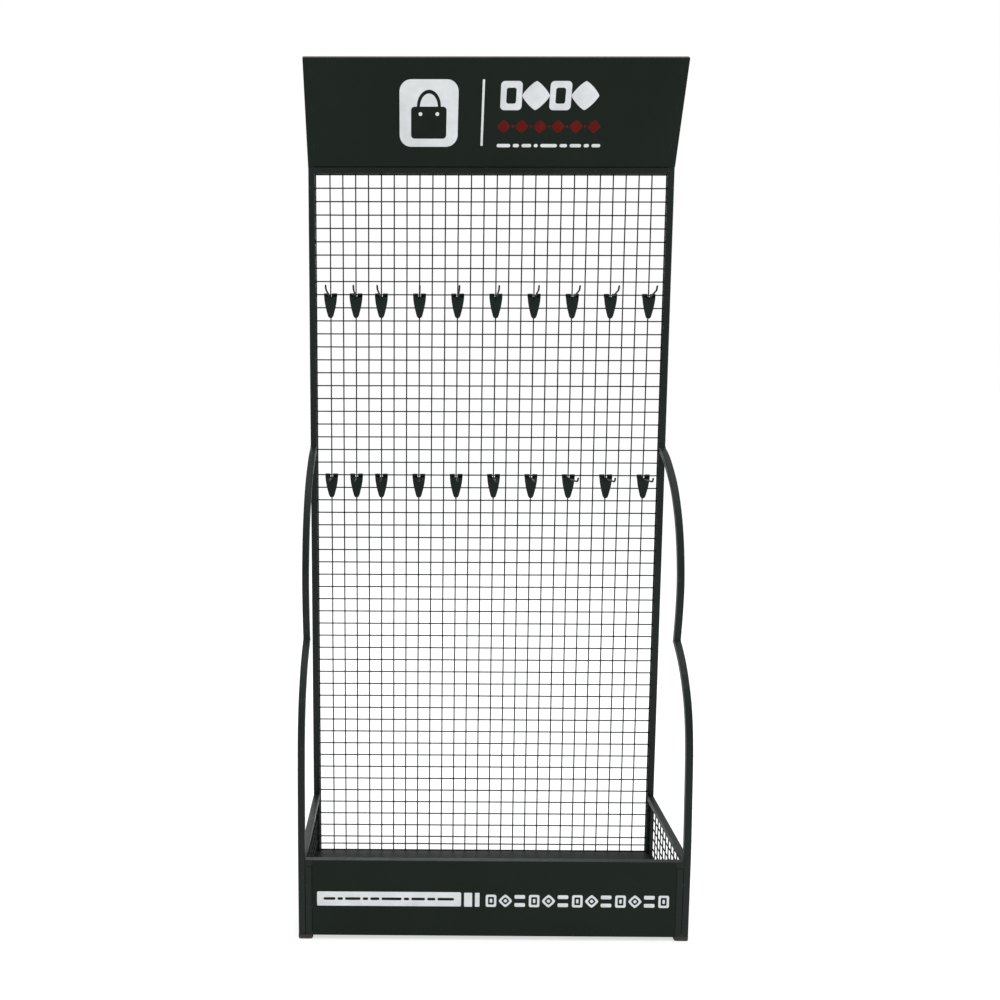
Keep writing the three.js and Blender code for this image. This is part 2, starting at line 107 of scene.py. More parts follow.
# -------------------------------------------------------------------- materials
def new_material(name):
    m = bpy.data.materials.new(name)
    m.use_nodes = True
    nt = m.node_tree
    nt.nodes.clear()
    out = nt.nodes.new("ShaderNodeOutputMaterial")
    bsdf = nt.nodes.new("ShaderNodeBsdfPrincipled")
    nt.links.new(bsdf.outputs[0], out.inputs[0])
    tc = nt.nodes.new("ShaderNodeTexCoord")
    return m, nt, bsdf, tc


def noise(nt, tc, scale, detail=2.0, rough=0.5, stretch=None):
    n = nt.nodes.new("ShaderNodeTexNoise")
    n.inputs["Scale"].default_value = scale
    n.inputs["Detail"].default_value = detail
    n.inputs["Roughness"].default_value = rough
    if stretch:
        mp = nt.nodes.new("ShaderNodeMapping")
        mp.inputs["Scale"].default_value = stretch
        nt.links.new(tc.outputs["Object"], mp.inputs["Vector"])
        nt.links.new(mp.outputs[0], n.inputs["Vector"])
    else:
        nt.links.new(tc.outputs["Object"], n.inputs["Vector"])
    return n.outputs["Fac"]


def remap(nt, value, a, b, c, d):
    m = nt.nodes.new("ShaderNodeMapRange")
    m.inputs["From Min"].default_value = a
    m.inputs["From Max"].default_value = b
    m.inputs["To Min"].default_value = c
    m.inputs["To Max"].default_value = d
    nt.links.new(value, m.inputs["Value"])
    return m.outputs[0]


def calc(nt, op, a, b):
    m = nt.nodes.new("ShaderNodeMath")
    m.operation = op
    for i, v in enumerate((a, b)):
        if isinstance(v, (int, float)):
            m.inputs[i].default_value = v
        else:
            nt.links.new(v, m.inputs[i])
    return m.outputs[0]


def blend_colour(nt, fac, a, b):
    m = nt.nodes.new("ShaderNodeMix")
    m.data_type = "RGBA"
    nt.links.new(fac, m.inputs[0])
    for i, v in ((6, a), (7, b)):
        if isinstance(v, tuple):
            m.inputs[i].default_value = (*v, 1.0)
        else:
            nt.links.new(v, m.inputs[i])
    return m.outputs[2]


def bump(nt, bsdf, layers):
    """layers: (height, strength, distance in metres), coarse first."""
    last = None
    for height, strength, distance in layers:
        b = nt.nodes.new("ShaderNodeBump")
        b.inputs["Strength"].default_value = strength
        b.inputs["Distance"].default_value = distance
        nt.links.new(height, b.inputs["Height"])
        if last is not None:
            nt.links.new(last, b.inputs["Normal"])
        last = b.outputs[0]
    nt.links.new(last, bsdf.inputs["Normal"])


def powder_coat(name, dark, light, rough, specular, peel, dust_and_top_light_amount=0.25, wear_and_highlight=0.6, ripple=0.0):
    """Satin black powder coat: orange peel, cloudy gloss, tops lightened as settled dust and painted top light,
    corners lightened as rubbed wear and painted edge highlight.
    """
    m, nt, bsdf, tc = new_material(name)
    cloud = noise(nt, tc, 5.0, 4.0, 0.55)
    grime_and_light_noise = noise(nt, tc, 38.0, 5.0, 0.65)
    fine = noise(nt, tc, 900.0, 2.0, 0.5)
    skin = noise(nt, tc, 2600.0, 1.0, 0.5)
    nick_and_highlight_noise = noise(nt, tc, 60.0, 5.0, 0.72)
    base = blend_colour(nt, remap(nt, cloud, 0.3, 0.7, 0.0, 1.0), dark, light)
    geo = nt.nodes.new("ShaderNodeNewGeometry")
    sep = nt.nodes.new("ShaderNodeSeparateXYZ")
    nt.links.new(geo.outputs["Normal"], sep.inputs[0])
    # partly settled dust, partly painted top light: faces that point up are blended toward pale bluish grey
    up = remap(nt, sep.outputs[2], 0.35, 0.98, 0.0, 1.0)
    dust_and_top_light = calc(nt, "MULTIPLY", up, remap(nt, grime_and_light_noise, 0.35, 0.75, 0.25 * dust_and_top_light_amount, dust_and_top_light_amount))
    base = blend_colour(nt, dust_and_top_light, base, (0.30, 0.31, 0.32))
    att = nt.nodes.new("ShaderNodeAttribute")
    att.attribute_name = "wear_and_highlight"
    # partly rubbed wear, partly painted edge highlight: the weighted corners are lightened to grey in patches
    rubbed_and_highlit = calc(nt, "MULTIPLY", att.outputs["Fac"], remap(nt, nick_and_highlight_noise, 0.60, 0.70, 0.0, wear_and_highlight))
    base = blend_colour(nt, rubbed_and_highlit, base, (0.10, 0.11, 0.11))
    nt.links.new(base, bsdf.inputs["Base Color"])
    r = remap(nt, cloud, 0.25, 0.75, rough - 0.05, rough + 0.07)
    r = calc(nt, "ADD", r, remap(nt, grime_and_light_noise, 0.3, 0.8, -0.03, 0.06))
    r = calc(nt, "ADD", r, calc(nt, "MULTIPLY", dust_and_top_light, 0.5))
    nt.links.new(r, bsdf.inputs["Roughness"])
    bsdf.inputs["Specular IOR Level"].default_value = specular
    bsdf.inputs["Coat Weight"].default_value = 0.0
    layers = []
    if ripple:
        layers.append((noise(nt, tc, 3.2, 1.0, 0.4), 1.0, ripple))
    layers += [(fine, 0.55, peel), (skin, 0.3, peel * 0.35), (rubbed_and_highlit, 0.4, 0.00006)]
    bump(nt, bsdf, layers)
    return m


def mat_zinc():
    m, nt, bsdf, tc = new_material("zinc_plate")
    spangle = noise(nt, tc, 900.0, 3.0, 0.6)
    cloud = noise(nt, tc, 160.0, 3.0, 0.5)
    base = blend_colour(nt, remap(nt, cloud, 0.35, 0.65, 0.0, 1.0), (0.42, 0.42, 0.40), (0.60, 0.58, 0.50))
    nt.links.new(base, bsdf.inputs["Base Color"])
    bsdf.inputs["Metallic"].default_value = 1.0
    nt.links.new(remap(nt, spangle, 0.3, 0.7, 0.24, 0.42), bsdf.inputs["Roughness"])
    bump(nt, bsdf, [(spangle, 0.35, 0.00004)])
    return m


def mat_rubber():
    m, nt, bsdf, tc = new_material("moulded_shoe")
    cloud = noise(nt, tc, 70.0, 4.0, 0.6)
    grain = noise(nt, tc, 1500.0, 3.0, 0.6)
    base = blend_colour(nt, remap(nt, cloud, 0.3, 0.7, 0.0, 1.0), (0.022, 0.019, 0.017), (0.045, 0.036, 0.030))
    geo = nt.nodes.new("ShaderNodeNewGeometry")
    sep = nt.nodes.new("ShaderNodeSeparateXYZ")
    nt.links.new(geo.outputs["Position"], sep.inputs[0])
    # painted reflection: the lowest 5 mm of each shoe is blended toward brown, in place of the reflection along its
    # bottom edge
    painted_bottom_reflection = calc(nt, "MULTIPLY", remap(nt, sep.outputs[2], 0.0, 0.005, 1.0, 0.0), remap(nt, cloud, 0.35, 0.7, 0.1, 0.7))
    base = blend_colour(nt, painted_bottom_reflection, base, (0.20, 0.15, 0.11))
    nt.links.new(base, bsdf.inputs["Base Color"])
    nt.links.new(remap(nt, cloud, 0.3, 0.7, 0.62, 0.8), bsdf.inputs["Roughness"])
    bsdf.inputs["Specular IOR Level"].default_value = 0.35
    bump(nt, bsdf, [(cloud, 0.25, 0.0003), (grain, 0.5, 0.00008)])
    return m


def mat_vinyl(name, low, high, rough, specular):
    m, nt, bsdf, tc = new_material(name)
    cloud = noise(nt, tc, 22.0, 4.0, 0.6)
    fine = noise(nt, tc, 1200.0, 2.0, 0.5)
    bubble = noise(nt, tc, 85.0, 2.0, 0.4)
    base = blend_colour(nt, remap(nt, cloud, 0.3, 0.72, 0.0, 1.0), low, high)
    nt.links.new(base, bsdf.inputs["Base Color"])
    nt.links.new(remap(nt, bubble, 0.3, 0.7, rough - 0.05, rough + 0.06), bsdf.inputs["Roughness"])
    bsdf.inputs["Specular IOR Level"].default_value = specular
    bump(nt, bsdf, [(bubble, 0.25, 0.00012), (fine, 0.25, 0.00002)])
    return m


PAINT_TUBE = powder_coat("black_powder_tube", (0.0056, 0.0098, 0.0082), (0.0088, 0.0138, 0.0120), 0.39, 0.17, 0.00007, dust_and_top_light_amount=0.012)
PAINT_SHEET = powder_coat("black_powder_sheet", (0.0040, 0.0084, 0.0052), (0.0064, 0.0114, 0.0078), 0.45, 0.11, 0.00006, dust_and_top_light_amount=0.02, ripple=0.0022)
PAINT_WIRE = powder_coat("black_powder_wire", (0.0040, 0.0060, 0.0050), (0.0075, 0.0100, 0.0085), 0.46, 0.05, 0.00006, dust_and_top_light_amount=0.012, wear_and_highlight=0.4)
PAINT_HOOK = powder_coat("black_powder_hook", (0.0080, 0.0135, 0.0108), (0.0120, 0.0180, 0.0150), 0.46, 0.09, 0.00005, dust_and_top_light_amount=0.004)
PAINT_WELD = powder_coat("black_powder_weld", (0.0060, 0.0098, 0.0082), (0.0088, 0.0132, 0.0115), 0.42, 0.16, 0.00006, dust_and_top_light_amount=0.012, wear_and_highlight=0.0)
ZINC = mat_zinc()
RUBBER = mat_rubber()
WHITE = mat_vinyl("white_vinyl", (0.60, 0.615, 0.62), (0.72, 0.735, 0.74), 0.38, 0.2)
RED = mat_vinyl("red_vinyl", (0.085, 0.0055, 0.0035), (0.13, 0.009, 0.006), 0.42, 0.06)
DARK = mat_vinyl("dark_vinyl", (0.0045, 0.0075, 0.0055), (0.0075, 0.0110, 0.0085), 0.42, 0.10)


# --------------------------------------------------------------------- shapes
class Shape:
    """Vertices in metres, faces, and how much each vertex is lightened as rubbed wear and painted edge highlight."""

    def __init__(self):
        self.v, self.f, self.w = [], [], []

    def ring(self, points, wear_and_highlight):
        k = len(self.v)
        self.v += points
        self.w += wear_and_highlight if isinstance(wear_and_highlight, list) else [wear_and_highlight] * len(points)
        return list(range(k, k + len(points)))

    def skin(self, rings, caps=True, closed=False):
        """Joins rings of equal length; the rings run so that the faces point out."""
        n = len(rings[0])
        pairs = list(zip(rings, rings[1:])) + ([(rings[-1], rings[0])] if closed else [])
        for a, b in pairs:
            for k in range(n):
                self.f.append((a[k], a[(k + 1) % n], b[(k + 1) % n], b[k]))
        if caps and not closed:
            self.f.append(tuple(reversed(rings[0])))
            self.f.append(tuple(rings[-1]))


def finish_mesh(name, shape, material, body, replaces=(), bevel=0.0, segments=2, angle=38, rubbed_and_highlit=1.0):
    me = bpy.data.meshes.new(name)
    bm = bmesh.new()
    layer = bm.verts.layers.float.new("wear_and_highlight")
    made = []
    for p, w in zip(shape.v, shape.w):
        q = bm.verts.new(p)
        q[layer] = w
        made.append(q)
    for f in shape.f:
        try:
            bm.faces.new([made[i] for i in f])
        except ValueError:
            pass
    bm.normal_update()
    if bevel:
        sharp = [e for e in bm.edges if len(e.link_faces) == 2 and e.calc_face_angle(0) > math.radians(50)]
        before = set(bm.verts)
        bmesh.ops.bevel(bm, geom=sharp, offset=bevel / 1000.0, segments=segments, profile=0.5,
                        affect="EDGES", clamp_overlap=True)
        # the new bevel vertices get the rubbed weight, lightening them as rubbed wear and painted edge highlight
        for q in bm.verts:
            if q not in before:
                q[layer] = rubbed_and_highlit
    bmesh.ops.recalc_face_normals(bm, faces=bm.faces)
    bm.to_mesh(me)
    bm.free()
    for p in me.polygons:
        p.use_smooth = True
    me.set_sharp_from_angle(angle=math.radians(angle))
    me.materials.append(material)
    ob = bpy.data.objects.new(name, me)
    bpy.context.scene.collection.objects.link(ob)
    if material is not WHITE and material is not RED and material is not DARK:
        wn = ob.modifiers.new("even_normals", "WEIGHTED_NORMAL")
        wn.mode = "FACE_AREA"
        wn.weight = 60
        wn.keep_sharp = True
    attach(ob, body)
    if replaces:
        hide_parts(*replaces)
    return ob


def rounded_square(r=CORNER, size=TUBE, steps=4):
    """Outline of a square tube from 0 to size both ways, with how much each point is lightened as rubbed wear and
    painted edge highlight.
    """
    pts, wear_and_highlight = [], []
    for cx, cy, a0 in ((size - r, r, -90), (size - r, size - r, 0), (r, size - r, 90), (r, r, 180)):
        for k in range(steps + 1):
            a = math.radians(a0 + 90.0 * k / steps)
            pts.append((cx + r * math.cos(a), cy + r * math.sin(a)))
            wear_and_highlight.append(1.0 if 0 < k < steps else 0.25)
    return pts, wear_and_highlight


SQ, SQ_WEAR_AND_HIGHLIGHT = rounded_square()


def tube(shape, stations):
    """stations: functions of the outline point (a, b) that give a point in metres."""
    rings = [shape.ring([st(a, b) for a, b in SQ], list(SQ_WEAR_AND_HIGHLIGHT)) for st in stations]
    shape.skin(rings)


def straight(name, axis, lo, hi, replaces, mat=None, body="root"):
    """A closed square tube along x, y or z between two corners given in mm."""
    s = Shape()
    (x0, y0, z0), (x1, y1, z1) = lo, hi
    if axis == "x":
        n = max(1, int((x1 - x0) / 60))
        st = [lambda a, b, x=x0 + (x1 - x0) * i / n: place(x, y0 + a, z0 + b) for i in range(n + 1)]
    elif axis == "y":
        n = max(1, int((y1 - y0) / 60))
        st = [lambda a, b, y=y1 - (y1 - y0) * i / n: place(x0 + a, y, z0 + b) for i in range(n + 1)]
    else:
        n = max(1, int((z1 - z0) / 60))
        st = [lambda a, b, z=z0 + (z1 - z0) * i / n: place(x0 + a, y0 + b, z) for i in range(n + 1)]
    tube(s, st)
    return finish_mesh(name, s, mat or PAINT_TUBE, body, replaces)


def frame_at(t, side):
    side = (side - t * side.dot(t)).normalized()
    return side, t.cross(side)


def rod(shape, pts, radius, sides=10, wear_and_highlight=0.15, closed=False, round_ends=False):
    """A round rod through points in metres; radius in mm, or one for each point."""
    n = len(pts)
    rad = radius if isinstance(radius, list) else [radius] * n
    side = Vector((0.31, 0.17, 0.93)).normalized()
    rings = []
    for i in range(n):
        if closed:
            t = (pts[(i + 1) % n] - pts[i - 1]).normalized()
        else:
            t = (pts[min(i + 1, n - 1)] - pts[max(i - 1, 0)]).normalized()
        if abs(t.dot(side)) > 0.97:
            side = Vector((0.93, 0.31, 0.17)).normalized()
        side, up = frame_at(t, side)
        r = rad[i] / 1000.0
        extra = []
        if round_ends and not closed and (i == n - 1 or (i == 0 and round_ends is True)):
            sign = -1 if i == 0 else 1
            extra = [(sign * r * math.sin(q), r * math.cos(q)) for q in (0.0, 0.5, 1.0, 1.35)]
            if i == 0:
                extra.reverse()
        else:
            extra = [(0.0, r)]
        for along, rr in extra:
            rings.append(shape.ring([pts[i] + t * along + side * rr * math.cos(2 * math.pi * k / sides)
                                     + up * rr * math.sin(2 * math.pi * k / sides) for k in range(sides)], wear_and_highlight))
    shape.skin(rings, caps=True, closed=closed)


def resample(pts, step):
    out = [pts[0]]
    for a, b in zip(pts, pts[1:]):
        n = max(1, int((b - a).length / step))
        out += [a + (b - a) * ((k + 1) / n) for k in range(n)]
    return out


def bead(shape, pts, r=1.5, closed=False, seed=0.0):
    """A weld bead along a line in metres: overlapping ripples, swelling a little."""
    line = list(pts) + ([pts[0]] if closed else [])
    line = resample(line, 0.0007)
    if closed:
        line = line[:-1]
    n = len(line)
    rad, moved = [], []
    for i, p in enumerate(line):
        ripple = abs(math.sin(i * 0.7 * math.pi / 2.1 + seed))
        swell = 0.10 * wave(math.floor(i / 6.0), seed)
        k = 1.0 if closed else min(1.0, (min(i, n - 1 - i) + 0.6) / 2.5)
        rad.append(r * k * (0.82 + 0.22 * ripple + swell))
        moved.append(p)
    rod(shape, moved, rad, 8, 0.0, closed=closed)


def blob(shape, centre, rx, ry, rz, sides=6, wear_and_highlight=0.0):
    """A small lump, in mm radii, with flattened poles along y."""
    rings = []
    for q in (-1.15, -0.5, 0.5, 1.15):
        c, sn = math.cos(q), math.sin(q)
        rings.append(shape.ring([centre + Vector((rx * c * math.cos(2 * math.pi * k / sides) / 1000,
                                                  ry * sn / 1000,
                                                  rz * c * math.sin(2 * math.pi * k / sides) / 1000))
                                 for k in range(sides)], wear_and_highlight))
    shape.skin(rings)


# ------------------------------------------------------------------ bowed tubes
def catmull(points, count):
    """Centripetal Catmull-Rom through points, spaced evenly."""
    P = [Vector((a, b)) for a, b in points]
    P = [P[0] * 2 - P[1]] + P + [P[-1] * 2 - P[-2]]
    fine = []
    for i in range(1, len(P) - 2):
        p0, p1, p2, p3 = P[i - 1:i + 3]
        t0 = 0.0
        t1 = t0 + (p1 - p0).length ** 0.5
        t2 = t1 + (p2 - p1).length ** 0.5
        t3 = t2 + (p3 - p2).length ** 0.5
        for k in range(24):
            t = t1 + (t2 - t1) * k / 24.0
            a1 = p0 * ((t1 - t) / (t1 - t0)) + p1 * ((t - t0) / (t1 - t0))
            a2 = p1 * ((t2 - t) / (t2 - t1)) + p2 * ((t - t1) / (t2 - t1))
            a3 = p2 * ((t3 - t) / (t3 - t2)) + p3 * ((t - t2) / (t3 - t2))
            b1 = a1 * ((t2 - t) / (t2 - t0)) + a2 * ((t - t0) / (t2 - t0))
            b2 = a2 * ((t3 - t) / (t3 - t1)) + a3 * ((t - t1) / (t3 - t1))
            fine.append(b1 * ((t2 - t) / (t2 - t1)) + b2 * ((t - t1) / (t2 - t1)))
    fine.append(P[-2])
    length = [0.0]
    for a, b in zip(fine, fine[1:]):
        length.append(length[-1] + (b - a).length)
    out, j = [], 0
    for k in range(count + 1):
        want = length[-1] * k / count
        while j < len(fine) - 2 and length[j + 1] < want:
            j += 1
        f = (want - length[j]) / max(length[j + 1] - length[j], 1e-9)
        out.append(fine[j] + (fine[j + 1] - fine[j]) * f)
    return out


upper_line = catmull(UPPER_BOW, 96)
lower_line = catmull(LOWER_BOW[:11], 84) + [Vector((FRONT_Y, 120.0)), Vector((FRONT_Y, 60.0)), Vector((FRONT_Y, FOOT_H))]


def behind(line, i):
    a, b = line[max(i - 1, 0)], line[min(i + 1, len(line) - 1)]
    t = (b - a).normalized()
    return Vector((-t[1], t[0]))


KINK = upper_line[-1]
d1 = (KINK - upper_line[-2]).normalized()
d2 = (lower_line[1] - KINK).normalized()
n1, n2 = Vector((-d1[1], d1[0])), Vector((-d2[1], d2[0]))
MD = (n1 + n2).normalized()
MD = MD * (1.0 / MD.dot(n1))

welds = Shape()
for side, word in ((-1, "left"), (1, "right")):
    x0 = INNER if side > 0 else -HALF_W
    # the upper bow: starts behind the post's front face and is trimmed to it
    s = Shape()
    rings = []
    for i, p in enumerate(upper_line):
        n = MD if i == len(upper_line) - 1 else behind(upper_line, i)
        rings.append(s.ring([place(x0 + a, p[0] + n[0] * b, p[1] + n[1] * b) for a, b in SQ], list(SQ_WEAR_AND_HIGHLIGHT)))
    s.skin(rings)
    ob = finish_mesh(f"{word}_bow_upper_tube", s, PAINT_TUBE, "root", (f"{word}_bow_upper",))
    bm = bmesh.new()
    bm.from_mesh(ob.data)
    cut = bmesh.ops.bisect_plane(bm, geom=bm.verts[:] + bm.edges[:] + bm.faces[:], dist=1e-6,
                                 plane_co=place(0, -7.45, 0), plane_no=Vector((0, 1, 0)), clear_outer=True)
    rim = [e for e in cut["geom_cut"] if isinstance(e, bmesh.types.BMEdge)]
    rim_pts = [q.co.copy() for q in cut["geom_cut"] if isinstance(q, bmesh.types.BMVert)]
    bmesh.ops.contextual_create(bm, geom=rim)
    bmesh.ops.recalc_face_normals(bm, faces=bm.faces)
    bm.to_mesh(ob.data)
    bm.free()
    ob.data.set_sharp_from_angle(angle=math.radians(38))
    z_hi, z_lo = max(q.z for q in rim_pts), min(q.z for q in rim_pts)
    yw = place(0, -7.7, 0).y
    xa, xb = x0 / 1000 + 0.0008, (x0 + TUBE) / 1000 - 0.0008
    bead(welds, [Vector((xa, yw, z_hi)), Vector((xb, yw, z_hi)), Vector((xb, yw, z_lo)), Vector((xa, yw, z_lo))],
         1.5, closed=True, seed=1.3 * side)
    # the lower bow, mitred against the upper one at the kink
    s = Shape()
    rings = []
    last = len(lower_line) - 1
    for i, p in enumerate(lower_line):
        if i == 0:
            n = MD
        elif i > last - 3:
            n = Vector((1.0, 0.0))
        else:
            n = behind(lower_line, i)
        rings.append(s.ring([place(x0 + a, p[0] + n[0] * b, p[1] + n[1] * b) for a, b in SQ], list(SQ_WEAR_AND_HIGHLIGHT)))
    s.skin(rings)
    finish_mesh(f"{word}_bow_lower_tube", s, PAINT_TUBE, "root", (f"{word}_bow_lower",))
    k0, k1 = KINK, KINK + MD * TUBE
    loop = [place(x0 + 0.7, k0[0], k0[1]), place(x0 + TUBE - 0.7, k0[0], k0[1]),
            place(x0 + TUBE - 0.7, k1[0], k1[1]), place(x0 + 0.7, k1[0], k1[1])]
    bead(welds, loop, 1.15, closed=True, seed=0.4 * side)

# ------------------------------------------------------- posts, header, cross tubes
for side, word in ((-1, "left"), (1, "right")):
    x0 = INNER if side > 0 else -HALF_W
    s = Shape()
    st = [lambda a, b, z=z: place(x0 + a, -HT + b, z) for z in [FOOT_H + 60.0 * k for k in range(28)]]
    st.append(lambda a, b: place(x0 + a, -HT + b, POST_TOP + b * math.tan(LEAN / 2)))
    tube(s, st)
    finish_mesh(f"{word}_post_tube", s, PAINT_TUBE, "root", (f"{word}_post",))
    # the header arm: mitred to the post, so its first ring lies in the mitre plane
    s = Shape()
    sb = TUBE * UY + MITRE * UZ
    st = [lambda a, b: header(x0 + a, sb * b / TUBE, -b)]
    st += [lambda a, b, q=q: header(x0 + a, q, -b) for q in (8.0, 60.0, 120.0, 180.0, HEADER_RUN)]
    tube(s, st)
    finish_mesh(f"{word}_header_arm_tube", s, PAINT_TUBE, "root", (f"{word}_header_arm",))
    xa, xb = x0 + 0.7, x0 + TUBE - 0.7
    bead(welds, [place(xa, -HT, POST_TOP), place(xb, -HT, POST_TOP), place(xb, HT, POST_TOP + MITRE),
                 place(xa, HT, POST_TOP + MITRE)], 1.1, closed=True, seed=2.0 + side)
    # stitch welds from the arm to the back of the sign sheet
    xi = side * (INNER - 0.2)
    for q in (38.0, 120.0, 200.0):
        bead(welds, [header(xi, q, 0.2), header(xi, q + 17.0, 0.2)], 1.7, seed=q)
    # top rail ends
    bead(welds, [header(side * INNER, 220.5, -0.4), header(side * INNER, 220.3, -14.4),
                 header(side * INNER, 234.4, -14.6)], 1.4, seed=3.0 + side)
    # cross tube ends
    for z, r in ((TOP_TUBE_Z, 1.25), (LOW_Z, 1.25)):
        y0, y1, za, zb = -HT + 0.6, HT - 0.6, z + 0.4, z + TUBE - 0.4
        bead(welds, [place(side * INNER, y0, za), place(side * INNER, y1, za), place(side * INNER, y1, zb),
                     place(side * INNER, y0, zb)], r, closed=True, seed=z + side)

straight("top_cross_tube_bar", "x", (-INNER, -HT, TOP_TUBE_Z), (INNER, HT, TOP_TUBE_Z + TUBE), ("top_cross_tube",))
straight("bottom_cross_tube_bar", "x", (-INNER, -HT, LOW_Z), (INNER, HT, LOW_Z + TUBE), ("bottom_cross_tube",))
s = Shape()
tube(s, [lambda a, b, x=x: header(x, HEADER_RUN - TUBE + b, -a) for x in [-INNER + 82.0 * k for k in range(11)]])
finish_mesh("header_top_rail_tube", s, PAINT_TUBE, "root", ("header_top_rail",))


# --------------------------------------------------------------- the sign sheet
def arc(cx, cy, r, a0, a1, steps):
    return [(cx + r * math.cos(math.radians(a0 + (a1 - a0) * k / steps)),
             cy + r * math.sin(math.radians(a0 + (a1 - a0) * k / steps))) for k in range(steps + 1)]


top_s = HEADER_RUN + 0.3
low_s = 0.79
back = (low_s + UY * 13.0, 1.5 + NY * 13.0)
profile = [back, (back[0] + UZ * SHEET, back[1] + NZ * SHEET), (1.62, 0.3), (3.2, 0.3)] + arc(top_s - 0.8, -0.5, 0.8, 90, 0, 3)
profile += [(top_s, -15.0), (top_s + SHEET, -15.0)] + arc(top_s - 0.8, -0.5, 2.0, 0, 90, 6) + [(3.2, 1.5), (low_s + 0.9, 1.5), (low_s + 0.35, 1.28), (low_s - 0.1, 0.75)]
profile.reverse()
s = Shape()
cols = [-HALF_W, -HALF_W + 1.6] + [-HALF_W + HALF_W * 2 * k / 34.0 for k in range(1, 34)] + [HALF_W - 1.6, HALF_W]

rings = []
for x in cols:
    rings.append(s.ring([header(x, a, b) for a, b in profile], 0.0))
s.skin(rings)
finish_mesh("header_sign_sheet", s, PAINT_SHEET, "root", ("header_panel",), bevel=0.3)

# ------------------------------------------------------------------- wire grid
s = Shape()
top, low = TOP_TUBE_Z, LOW_Z + TUBE
edge = INNER - 1.6
for side in (-1, 1):
    rod(s, [place(side * edge, 0, low + (top - low) * k / 24) for k in range(25)], 1.4, 10)
for z in (top - 1.6, low + 1.6):
    rod(s, [place(-edge + 2 * edge * k / 16, 0, z) for k in range(17)], 1.4, 10)
xs = [(i - 13.5) * GRID_PX for i in range(1, 27)]
zs = [GRID_TOP - GRID_PZ * j for j in range(1, 54)] + [GRID_LAST]
for i, x in enumerate(xs):
    rod(s, [place(x + 0.18 * wave(i, k), 1.35, low + 0.2 + (top - low - 0.4) * k / 20) for k in range(21)], 1.5, 12)
for j, z in enumerate(zs):
    rod(s, [place(-INNER + 0.1 + (2 * INNER - 0.2) * k / 16, -1.35, z + 0.15 * wave(j, k, 3)) for k in range(17)], 1.5, 12)
finish_mesh("grid_wires", s, PAINT_WIRE, "root", ("grid_panel",), angle=60)
s = Shape()
for i, x in enumerate(xs):
    for j, z in enumerate(zs):
        blob(s, place(x, 0.0, z), 1.95 + 0.15 * wave(i, j), 1.15, 1.95 + 0.15 * wave(j, i))
for side in (-1, 1):
    for j, z in enumerate(zs):
        blob(s, place(side * edge, -0.6, z), 1.8, 1.2, 1.8)
        if j % 4 == 0:
            blob(s, place(side * (INNER - 0.4), -0.4, z), 1.7, 2.0, 4.2)
finish_mesh("grid_spot_welds", s, PAINT_WIRE, "root", angle=80)

# --------------------------------------------------------------- base basket
for side, word in ((-1, "left"), (1, "right")):
    lo = STILE0 if side > 0 else -INNER + 0.3
    straight(f"{word}_front_stile_tube", "z", (lo, FRONT_Y, FOOT_H), (lo + TUBE, LEG_BACK, RAIL_TOP - TUBE), (f"{word}_front_stile",))
    lo = INNER if side > 0 else -HALF_W
    for z, w in ((RAIL_TOP - TUBE, "top"), (LOW_Z, "bottom")):
        straight(f"{word}_side_{w}_rail_tube", "y", (lo, LEG_BACK, z), (lo + TUBE, -HT, z + TUBE), (f"{word}_side_{w}_rail",))
        xa, xb, za, zb = lo + 0.6, lo + TUBE - 0.6, z + 0.5, z + TUBE - 0.5
        bead(welds, [place(xa, LEG_BACK, za), place(xb, LEG_BACK, za), place(xb, LEG_BACK, zb), place(xa, LEG_BACK, zb)],
             1.35, closed=True, seed=z * 0.1 + side)
    lo = 130.0 if side > 0 else -145.0
    straight(f"{word}_shelf_bearer_tube", "y", (lo, LEG_BACK, LOW_Z), (lo + TUBE, -HT, LOW_Z + TUBE), (f"{word}_shelf_bearer",))
    for y in (LEG_BACK, -HT):
        bead(welds, [place(lo + 0.6, y, LOW_Z + TUBE - 0.6), place(lo + 0.6, y, LOW_Z + 0.4), place(lo + TUBE - 0.6, y, LOW_Z + 0.4),
                     place(lo + TUBE - 0.6, y, LOW_Z + TUBE - 0.6)], 1.3, seed=y + side)
    for z, edge_x in ((RAIL_TOP - TUBE, INNER), (LOW_Z, STILE0)):
        bead(welds, [place(side * edge_x, FRONT_Y + 0.6, z + TUBE - 0.4), place(side * edge_x, LEG_BACK - 0.5, z + TUBE - 0.4),
                     place(side * edge_x, LEG_BACK - 0.4, z + 0.6)], 1.2, seed=z + 5 * side)
    bead(welds, [place(side * (STILE0 + 0.6), LEG_BACK - 0.3, RAIL_TOP - TUBE), place(side * (INNER - 0.8), LEG_BACK - 0.3, RAIL_TOP - TUBE)],
         1.2, seed=side)
    bead(welds, [place(side * INNER, LEG_BACK, 40 + 6 * side), place(side * INNER, LEG_BACK, 62 + 6 * side)], 1.6, seed=4 * side)
    bead(welds, [place(side * INNER, LEG_BACK, 128), place(side * INNER, LEG_BACK, 150)], 1.6, seed=9 * side)
straight("front_top_rail_tube", "x", (-INNER, FRONT_Y, RAIL_TOP - TUBE), (INNER, LEG_BACK, RAIL_TOP), ("front_top_rail",))
straight("front_bottom_rail_tube", "x", (-STILE0, FRONT_Y, LOW_Z), (STILE0, LEG_BACK, LOW_Z + TUBE), ("front_bottom_rail",))
finish_mesh("frame_weld_beads", welds, PAINT_WELD, "root", angle=80)


def prism(shape, outline, station0, station1, wear_and_highlight=0.0):
    a = shape.ring([station0(*p) for p in outline], wear_and_highlight)
    b = shape.ring([station1(*p) for p in outline], wear_and_highlight)
    shape.skin([a, b])


